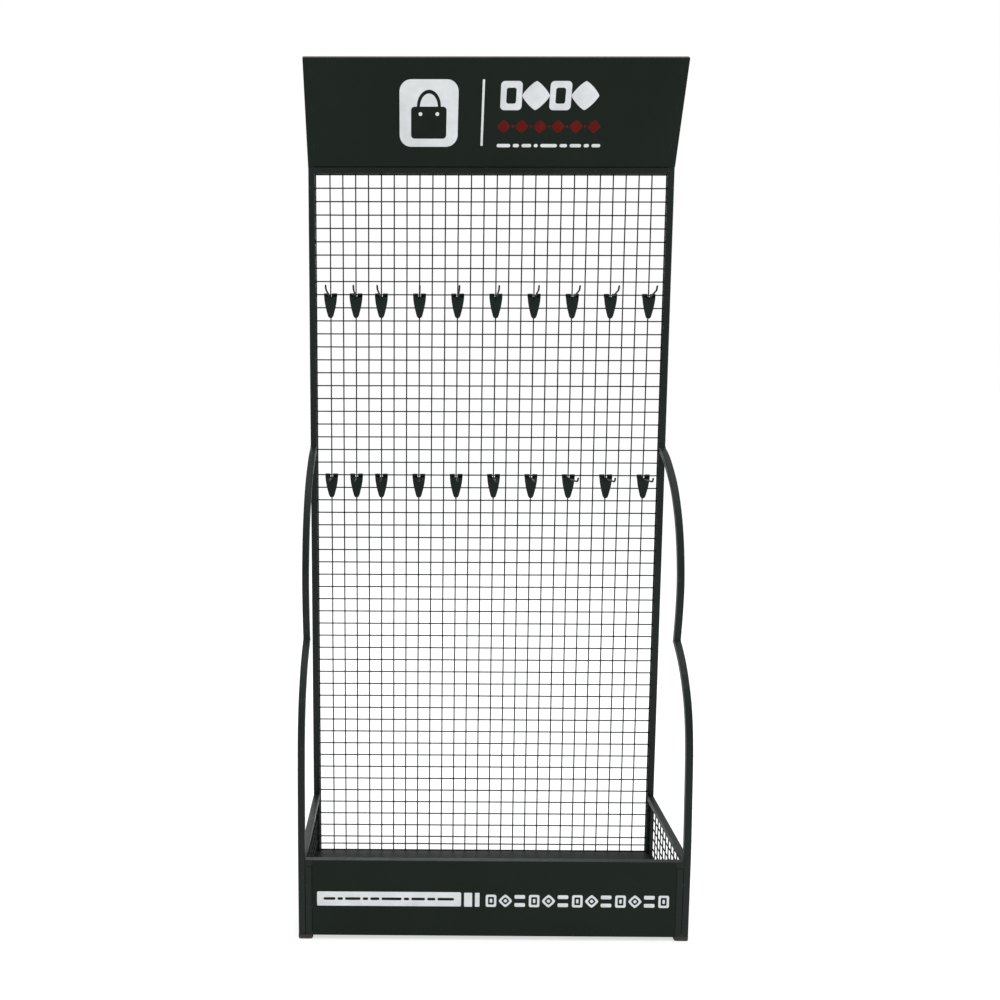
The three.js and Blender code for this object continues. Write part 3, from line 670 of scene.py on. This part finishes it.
s = Shape()
rings = []
yf = FRONT_Y - 0.3 - SHEET
for x in [-394.4, -392.8] + [-394.4 + 788.8 * k / 20 for k in range(1, 20)] + [392.8, 394.4]:
    rings.append(s.ring([place(x, yf, FOOT_H), place(x, yf + SHEET, FOOT_H), place(x, yf + SHEET, RAIL_TOP),
                         place(x, yf, RAIL_TOP), place(x, yf, RAIL_TOP - 1.6), place(x, yf, FOOT_H + 1.6)], 0.0))
s.skin(rings)
finish_mesh("front_panel_sheet", s, PAINT_SHEET, "root", ("front_panel",), bevel=0.35)

s = Shape()
a, b, z = STILE0 - 0.3, INNER - 0.3, LOW_Z + TUBE + 0.2
outline = [(-a, FRONT_Y + 1), (a, FRONT_Y + 1), (a, LEG_BACK + 0.3), (b, LEG_BACK + 0.3), (b, -3.6), (-b, -3.6), (-b, LEG_BACK + 0.3), (-a, LEG_BACK + 0.3)]
prism(s, outline, lambda x, y: place(x, y, z), lambda x, y: place(x, y, z + SHEET))
finish_mesh("base_shelf_sheet", s, PAINT_SHEET, "root", ("base_shelf",), bevel=0.3, rubbed_and_highlit=0.0)

for side, word in ((-1, "left"), (1, "right")):
    s = Shape()
    x = side * POST_MID
    y0, y1 = LEG_BACK + 0.2, -HT - 0.2
    z0, z1 = LOW_Z + TUBE + 0.1, RAIL_TOP - TUBE - 0.1
    for y in (y0 + 1.5, y1 - 1.5):
        rod(s, [place(x, y, z0), place(x, y, z1)], 1.5, 12)
    for z in (z0 + 1.5, z1 - 1.5):
        rod(s, [place(x, y0, z), place(x, y1, z)], 1.5, 12)
    ys = [-8.1 - 1.35 - 25.4 * k for k in range(1, 13)]
    zz = [165.7 - 1.35 - 25.4 * k for k in range(1, 5)]
    for i, y in enumerate(ys):
        rod(s, [place(x + side * 1.35, y + 0.15 * wave(i, k, 7), z0 + (z1 - z0) * k / 5) for k in range(6)], 1.5, 12)
    for j, z in enumerate(zz):
        rod(s, [place(x - side * 1.35, y0 + (y1 - y0) * k / 12, z + 0.12 * wave(j, k, 5)) for k in range(13)], 1.5, 12)
    for i, y in enumerate(ys):
        for j, z in enumerate(zz):
            rings = []
            for q in (-1.15, -0.5, 0.5, 1.15):
                c, sn = math.cos(q), math.sin(q)
                rings.append(s.ring([place(x + 1.15 * sn, y + 2.0 * c * math.cos(math.pi * k / 4), z + 2.0 * c * math.sin(math.pi * k / 4)) for k in range(8)], 0.0))
            s.skin(rings)
    finish_mesh(f"{word}_side_mesh_wires", s, PAINT_WIRE, "root", (f"{word}_side_mesh",), angle=60)

# ------------------------------------------------------------------------- feet
def rounded_rect(w, d, r, steps=6):
    pts = []
    for cx, cy, a0 in ((w - r, -d + r, -90), (w - r, d - r, 0), (-w + r, d - r, 90), (-w + r, -d + r, 180)):
        for k in range(steps + 1):
            q = math.radians(a0 + 90.0 * k / steps)
            pts.append((cx + r * math.cos(q), cy + r * math.sin(q)))
    return pts


SHOE = [(0.0, 2.2), (0.0, 1.5), (0.5, 0.7), (1.4, 0.15), (2.4, 0.0), (5.6, 0.0), (5.9, 0.15), (6.2, 0.75), (6.7, 0.8),
        (7.0, 0.25), (7.3, 0.05), (9.0, 0.05), (9.5, 0.35), (9.7, 1.0), (9.75, 2.4)]
for side, word in ((-1, "left"), (1, "right")):
    s = Shape()
    cx, cy = side * (INNER - 0.15), FRONT_Y + HT
    rings = []
    for z, inset in SHOE:
        rings.append(s.ring([place(cx + px, cy + py, z) for px, py in rounded_rect(15.8 - inset, 8.6 - inset, 5.0 - inset * 0.8)], 0.0))
    s.skin(rings)
    finish_mesh(f"front_{word}_shoe", s, RUBBER, "root", (f"front_{word}_foot",), angle=50)
    s = Shape()
    rings = []
    for z, inset in SHOE:
        r = 12.5 - inset
        rings.append(s.ring([place(side * POST_MID + r * math.cos(math.pi * k / 20),
                                   max(-11.8, min(HT + 3.5, r * math.sin(math.pi * k / 20))), z) for k in range(40)], 0.0))
    s.skin(rings)
    finish_mesh(f"rear_{word}_shoe", s, RUBBER, "root", (f"rear_{word}_foot",), angle=50)

# ------------------------------------------------------------------------ bolts
for side, word in ((-1, "left"), (1, "right")):
    for z, w in ((RAIL_TOP - HT, "upper"), (LOW_Z + HT, "lower")):
        s = Shape()
        cx = side * POST_MID

        def hexagon(q, flat):
            return flat / math.cos(((q + math.pi / 6) % (math.pi / 3)) - math.pi / 6)

        y = HT + 0.05
        rings = []
        for dy, r, hexed in ((0.0, 6.9, 0), (0.9, 6.9, 0), (1.1, 6.7, 0), (1.1, 6.0, 0), (1.7, 6.0, 0), (2.6, 5.4, 0), (3.2, 4.5, 0),
                             (3.5, 3.5, 0), (3.5, 2.25, 1), (3.3, 2.1, 1), (1.3, 2.05, 1)):
            ring = []
            for k in range(48):
                q = 2 * math.pi * k / 48
                rr = hexagon(q, r) if hexed else r
                ring.append(place(cx + rr * math.cos(q), y + dy, z + rr * math.sin(q)))
            rings.append(s.ring(ring, 0.0))
        s.skin(rings)
        finish_mesh(f"{word}_bolt_head_{w}", s, ZINC, "root", (f"{word}_frame_bolt_{w}",), angle=32)


# ------------------------------------------------------------------------ hooks
def hook(name, x, z_wire, yaw, slope):
    s = Shape()
    top = z_wire + 1.0
    yb, yf = -3.3, -4.8
    half = [(15.4, -2.0), (15.2, -8), (14.2, -17), (12.5, -27), (10.2, -37), (8.1, -45), (6.5, -50.5), (4.1, -54.4)]
    fine = catmull(half + [(0.0, -56.0)], 24)[:-1]
    right = [(14.8, 0.0), (15.25, -0.25), (15.4, -0.8)] + [(p[0], p[1]) for p in fine]
    slot = [(3.8, 0.0), (3.35, -0.2), (3.2, -0.7), (3.2, -1.8), (3.2, -3.0)]
    slot += [(3.2 * math.cos(q), -3.1 - 3.2 * math.sin(q)) for q in [math.pi * k / 16 for k in range(1, 8)]]
    outer = [(a, b) for a, b in right] + [(0.0, -56.0)] + [(-a, b) for a, b in reversed(right)]
    outer += [(-a, b) for a, b in slot] + [(0.0, -6.3)] + [(a, b) for a, b in reversed(slot)]
    outer.reverse()
    n = len(outer)

    def drawn_in(d):
        """The outline moved inwards by d, for the softened edge."""
        out = []
        for i, p in enumerate(outer):
            q0, q1 = Vector(outer[i - 1]), Vector(outer[(i + 1) % n])
            t = (q1 - q0).normalized()
            out.append((p[0] - t[1] * d, p[1] + t[0] * d))
        return out

    if sum(outer[i - 1][0] * outer[i][1] - outer[i][0] * outer[i - 1][1] for i in range(n)) < 0:
        outer.reverse()
    soft = drawn_in(0.28)
    rings = [s.ring([place(x + px, y, top + pz) for px, pz in pts], w)
             for pts, y, w in ((soft, yf, 0.3), (outer, yf + 0.28, 1.0), (outer, yb - 0.28, 1.0), (soft, yb, 0.3))]
    s.skin(rings)
    # the tongues: strap bent over the wire
    for side in (-1, 1):
        cx = x + side * 9.3
        mid = []
        mid += [(-4.05, z_wire - 6.0), (-4.05, z_wire + 0.4)]
        mid += [(-1.5 - 2.55 * math.cos(q), z_wire + 0.4 + 2.2 * math.sin(q)) for q in [math.pi * k / 10 for k in range(1, 10)]]
        mid += [(1.05, z_wire + 0.4), (1.05, z_wire - 5.4), (1.25, z_wire - 6.0)]
        rings = []
        for k, (y, z) in enumerate(mid):
            a, b = mid[max(k - 1, 0)], mid[min(k + 1, len(mid) - 1)]
            ty, tz = b[0] - a[0], b[1] - a[1]
            l = math.hypot(ty, tz)
            ny, nz = -tz / l, ty / l
            w = 5.9 if k < len(mid) - 1 else 5.2
            section = [(-w, -0.5), (-w + 0.25, -0.75), (w - 0.25, -0.75), (w, -0.5), (w, 0.5), (w - 0.25, 0.75), (-w + 0.25, 0.75), (-w, 0.5)]
            rings.append(s.ring([place(cx + px, y + ny * pn, z + nz * pn) for px, pn in section], 0.35))
        s.skin(rings)
    # the prong: round wire, welded to the plate, with an upturned rounded tip
    a, w = math.radians(slope), math.radians(yaw)
    zr = z_wire - 8.6

    def at(l, up):
        return place(x + math.sin(w) * l, yb - 0.4 - math.cos(w) * l, zr + up)

    path = [at(l, math.tan(a) * l) for l in (0.0, 3.0, 12.0, 30.0, 50.0, 70.0, 84.0)]
    base = 84.0
    for k in range(1, 9):
        q = a + (math.radians(58) - a) * k / 8
        step = 1.35 + 0.05 * k
        prev_l, prev_up = (base, math.tan(a) * base) if k == 1 else last
        last = (prev_l + step * math.cos(q), prev_up + step * math.sin(q))
        path.append(at(*last))
    path.append(at(last[0] + 1.1, last[1] + 1.6))
    rod(s, path, 2.1, 16, 0.35, round_ends="tip")
    # fillet weld round the prong's root
    centre = at(1.4, math.tan(a) * 1.4)
    ring_pts = [centre + Vector((2.4 * math.cos(q) / 1000, 0.0, 2.4 * math.sin(q) / 1000)) for q in [2 * math.pi * k / 26 for k in range(26)]]
    rod(s, ring_pts, [0.95 + 0.12 * abs(math.sin(k * 1.3)) for k in range(26)], 8, 0.0, closed=True)
    return finish_mesh(name + "_steel", s, PAINT_HOOK, name + "_body", (name,), angle=42)


for n, c in enumerate(COLUMNS):
    hx = (c - 13.5) * GRID_PX
    hook(f"upper_hook_{n + 1:02d}", hx, GRID_TOP - GRID_PZ * UPPER_LEVEL, UPPER_YAW[n], 8.6)
    hook(f"lower_hook_{n + 1:02d}", hx, GRID_TOP - GRID_PZ * LOWER_LEVEL, LOWER_YAW[n], 2.2)


# ------------------------------------------------- generic vinyl in place of marks
def on_header(x, v, lift):
    return header(x, v, 1.5 + lift)


def on_base(x, v, lift):
    return place(x, FRONT_Y - 0.3 - SHEET - lift, v)


def plate(shape, outline, where, low=0.02, high=0.24):
    """A cut vinyl shape with a softened rim; the outline runs anticlockwise."""
    cx = sum(p[0] for p in outline) / len(outline)
    cy = sum(p[1] for p in outline) / len(outline)
    size = max(max(abs(p[0] - cx), abs(p[1] - cy)) for p in outline)
    k = 1 - 0.25 / max(size, 2.0)
    inner = [(cx + (px - cx) * k, cy + (py - cy) * k) for px, py in outline]
    rings = [shape.ring([where(px, py, low) for px, py in outline], 0.0),
             shape.ring([where(px, py, high - 0.08) for px, py in outline], 0.0),
             shape.ring([where(px, py, high) for px, py in inner], 0.0)]
    shape.skin(rings)


def frame_plate(shape, outer, inner, where, low=0.02, high=0.24):
    """A cut vinyl ring between two outlines of equal count."""
    loops = [(outer, low), (outer, high), (inner, high), (inner, low)]
    rings = [shape.ring([where(px, py, l) for px, py in pts], 0.0) for pts, l in loops]
    shape.skin(rings, caps=False, closed=True)


def box_outline(x0, x1, v0, v1, r, steps=5):
    w, h = (x1 - x0) / 2, (v1 - v0) / 2
    r = min(r, w * 0.999, h * 0.999)
    return [((x0 + x1) / 2 + px, (v0 + v1) / 2 + py) for px, py in rounded_rect(w, h, r, steps)]


def disc(cx, cy, r, n=40, turn=0.0):
    return [(cx + r * math.cos(turn + 2 * math.pi * k / n), cy + r * math.sin(turn + 2 * math.pi * k / n)) for k in range(n)]


def diamond(cx, cy, r, soft=0.18, n=48):
    out = []
    for k in range(n):
        q = 2 * math.pi * k / n
        c, sn = math.cos(q), math.sin(q)
        rr = r / (abs(c) ** (1 / (1 - soft)) + abs(sn) ** (1 / (1 - soft))) ** (1 - soft)
        out.append((cx + rr * c, cy + rr * sn))
    return out


white, red, dark = Shape(), Shape(), Shape()
# the emblem: a plain carrier bag on a rounded tile
plate(white, box_outline(-212, -80, 46, 192, 26, 8), on_header)
bag = [(-184, 66), (-108, 66), (-103, 136), (-189, 136)]
plate(dark, box_outline(-186, -106, 64, 134, 8), on_header, 0.24, 0.40)
frame_plate(dark, [(-146 + 27 * math.cos(q), 134 + 36 * math.sin(q)) for q in [math.pi * k / 20 for k in range(21)]]
            + [(-146 - 20 * math.cos(q), 134 + 28 * math.sin(q)) for q in [math.pi * k / 20 for k in range(21)]][:0] + [(-172.9, 131), (-119.1, 131)][:0],
            [(-146 + 20 * math.cos(q), 134 + 28 * math.sin(q)) for q in [math.pi * k / 20 for k in range(21)]], on_header, 0.24, 0.40)
plate(white, disc(-165, 118, 4.2, 24), on_header, 0.40, 0.50)
plate(white, disc(-127, 118, 4.2, 24), on_header, 0.40, 0.50)
# the rule beside it
plate(white, box_outline(-27.2, -22.0, 48, 192, 1.5), on_header)
# four bold tiles in a row
x = 10.0
for k in range(4):
    cx, cy = 38.0 + 55.0 * k, 157.5
    if k % 2 == 0:
        frame_plate(white, box_outline(cx - 24, cx + 24, cy - 31, cy + 31, 9, 8), box_outline(cx - 11, cx + 11, cy - 17, cy + 17, 5, 8), on_header)
    else:
        plate(white, diamond(cx, cy, 31), on_header)
# a red row of small diamonds and a fine dashed white row
for k in range(6):
    plate(red, diamond(24.0 + 41.0 * k, 91.0, 14.5), on_header)
    if k < 5:
        plate(red, box_outline(39.0 + 41.0 * k + 2.5, 39.0 + 41.0 * k + 8.5, 88.0, 94.0, 2.9), on_header)
x = 10.0
for w in (31, 14, 22, 9, 38, 17, 26, 12, 20):
    plate(white, box_outline(x, x + w, 45.0, 52.5, 3.6), on_header)
    x += w + 6.0
# front panel: a strip with a dashed line, two blocks and a row of small tiles
plate(white, box_outline(-384, -71, 78.0, 110.5, 3.0), on_base)
x = -370.0
for w in (26, 12, 34, 12, 20, 44, 12, 30, 18, 36):
    plate(dark, box_outline(x, x + w, 91.5, 97.5, 2.9), on_base, 0.24, 0.34)
    x += w + 4.4
plate(white, box_outline(-64.5, -47.0, 77.5, 109.5, 1.5), on_base)
plate(white, box_outline(-41.0, -31.0, 77.5, 109.5, 1.5), on_base)
for k in range(13):
    cx, cy = -6.0 + 31.2 * k, 91.5
    if k % 3 == 0:
        frame_plate(white, box_outline(cx - 11.5, cx + 11.5, cy - 14, cy + 14, 4, 6), box_outline(cx - 6.5, cx + 6.5, cy - 9, cy + 9, 2, 6), on_base)
        plate(white, box_outline(cx - 2.6, cx + 2.6, cy - 4.5, cy + 4.5, 1.5), on_base)
    elif k % 3 == 1:
        frame_plate(white, diamond(cx, cy, 14.5), diamond(cx, cy, 8.6), on_base)
        plate(white, diamond(cx, cy, 4.2), on_base)
    else:
        plate(white, box_outline(cx - 11.5, cx + 11.5, cy + 5, cy + 13.5, 2.5), on_base)
        plate(white, box_outline(cx - 11.5, cx + 11.5, cy - 13.5, cy - 5, 2.5), on_base)
finish_mesh("vinyl_white_shapes", white, WHITE, "root", angle=40)
finish_mesh("vinyl_red_shapes", red, RED, "root", angle=40)
finish_mesh("vinyl_dark_shapes", dark, DARK, "root", angle=40)

# ------------------------------------------------------------- floor and light
def mat_floor():
    m, nt, bsdf, tc = new_material("pale_floor")
    cloud = noise(nt, tc, 1.4, 3.0, 0.5)
    base = blend_colour(nt, remap(nt, cloud, 0.3, 0.7, 0.0, 1.0), (0.415, 0.415, 0.415), (0.435, 0.435, 0.432))
    nt.links.new(base, bsdf.inputs["Base Color"])
    nt.links.new(remap(nt, cloud, 0.3, 0.7, 0.75, 0.85), bsdf.inputs["Roughness"])
    bsdf.inputs["Specular IOR Level"].default_value = 0.2
    bsdf.inputs["Emission Color"].default_value = (1.0, 1.0, 1.0, 1.0)
    bsdf.inputs["Emission Strength"].default_value = 0.62
    return m


me = bpy.data.meshes.new("studio_floor")
me.from_pydata([(-40, -40, 0), (40, -40, 0), (40, 40, 0), (-40, 40, 0)], [], [(0, 1, 2, 3)])
me.materials.append(mat_floor())
floor = bpy.data.objects.new("studio_floor", me)
bpy.context.scene.collection.objects.link(floor)
floor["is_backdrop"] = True

world = bpy.data.worlds.new("studio")
bpy.context.scene.world = world
world.use_nodes = True
nt = world.node_tree
nt.nodes.clear()
out = nt.nodes.new("ShaderNodeOutputWorld")
bg = nt.nodes.new("ShaderNodeBackground")
tc = nt.nodes.new("ShaderNodeTexCoord")
sep = nt.nodes.new("ShaderNodeSeparateXYZ")
nt.links.new(tc.outputs["Generated"], sep.inputs[0])
overhead = remap(nt, sep.outputs[2], 0.15, 0.75, 0.35, 1.15)
nt.links.new(overhead, bg.inputs["Strength"])
bg.inputs["Color"].default_value = (0.97, 0.985, 1.0, 1.0)
seen = nt.nodes.new("ShaderNodeBackground")
seen.inputs["Color"].default_value = (1.0, 1.0, 1.0, 1.0)
seen.inputs["Strength"].default_value = 1.0
lp = nt.nodes.new("ShaderNodeLightPath")
mx = nt.nodes.new("ShaderNodeMixShader")
nt.links.new(lp.outputs["Is Camera Ray"], mx.inputs[0])
nt.links.new(bg.outputs[0], mx.inputs[1])
nt.links.new(seen.outputs[0], mx.inputs[2])
nt.links.new(mx.outputs[0], out.inputs[0])


def softbox(name, at, look, size, power, colour=(1, 1, 1)):
    li = bpy.data.lights.new(name, "AREA")
    li.shape = "RECTANGLE"
    li.size, li.size_y = size
    li.energy = power
    li.color = colour
    ob = bpy.data.objects.new(name, li)
    ob.location = at
    ob.rotation_euler = (Vector(look) - Vector(at)).to_track_quat("-Z", "Y").to_euler()
    bpy.context.scene.collection.objects.link(ob)


softbox("light_top", (0.2, -0.6, 4.2), (0.0, 0.0, 0.6), (3.4, 3.0), 40)
softbox("light_right", (3.4, -0.9, 2.1), (0.0, 0.0, 0.9), (1.6, 2.4), 62, (0.93, 0.97, 1.0))
softbox("light_left", (-3.6, -0.6, 1.9), (0.0, 0.0, 0.9), (1.6, 2.4), 26)
softbox("light_back", (-0.6, 3.6, 2.6), (0.0, 0.0, 0.9), (3.0, 2.0), 45)

# ----------------------------------------------------------------------- camera
yaw, pitch, roll = -0.0077, -0.1238, 0.0026
fwd = Vector((math.sin(yaw) * math.cos(pitch), math.cos(yaw) * math.cos(pitch), math.sin(pitch)))
rt = Vector((math.cos(yaw), -math.sin(yaw), 0.0))
up = rt.cross(fwd)
r2 = rt * math.cos(roll) + up * math.sin(roll)
u2 = -rt * math.sin(roll) + up * math.cos(roll)
cam_data = bpy.data.cameras.new("camera")
cam_data.sensor_width = 36.0
cam_data.lens = 1026.6756 / 1000.0 * 36.0
cam_data.shift_x = (500.0 - 406.6653) / 1000.0
cam_data.shift_y = 0.0
cam_data.clip_start, cam_data.clip_end = 0.05, 200.0
cam = bpy.data.objects.new("camera", cam_data)
bpy.context.scene.collection.objects.link(cam)
m = Matrix((
    (r2.x, u2.x, -fwd.x, -0.1752165),
    (r2.y, u2.y, -fwd.y, -2.4665182 + 0.1741),
    (r2.z, u2.z, -fwd.z, 1.230226),
    (0, 0, 0, 1),
))
cam.matrix_world = m
bpy.context.scene.camera = cam
bpy.context.scene.view_settings.view_transform = "Standard"
bpy.context.scene.view_settings.look = "None"

lo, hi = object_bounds()
